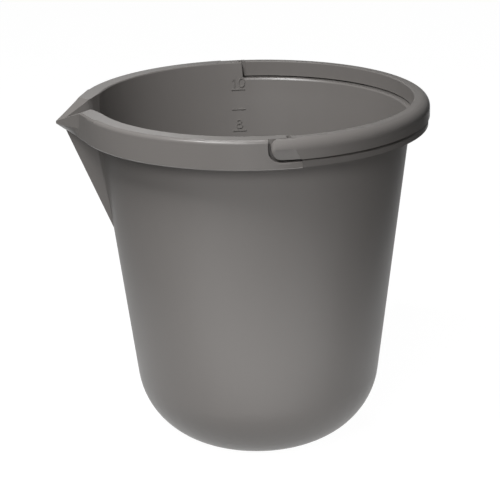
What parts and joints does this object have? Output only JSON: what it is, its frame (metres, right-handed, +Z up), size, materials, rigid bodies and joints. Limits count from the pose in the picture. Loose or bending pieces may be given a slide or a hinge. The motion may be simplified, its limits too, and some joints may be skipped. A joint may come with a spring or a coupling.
{
  "type": "bucket",
  "caption": "Round plastic household bucket with a leaning wall, round-cornered base, turned-over rim, pouring spout and a half-ring handle that lies in the rim and swings up to carry.",
  "frame": {"origin": "centre of the flat base, on the ground", "axes": "+Z up along the axis of the wall, -X towards the spout, +X towards the handle's grip, Y along the handle's hinge line"},
  "size_m": [0.3061, 0.2924, 0.2959],
  "materials": {
    "shell_plastic": "satin grey polypropylene",
    "handle_plastic": "satin grey polypropylene"
  },
  "bodies": {
    "bucket": {"bucket_shell": "shell_plastic"},
    "handle": {"carry_handle": "handle_plastic"}
  },
  "joints": [
    {"name": "handle_swing", "type": "hinge", "parent": "bucket", "child": "handle", "pos_m": [0.0009, 0, 0.28825], "axis": [0, -1, 0], "range_deg": [0, 92]}
  ]
}
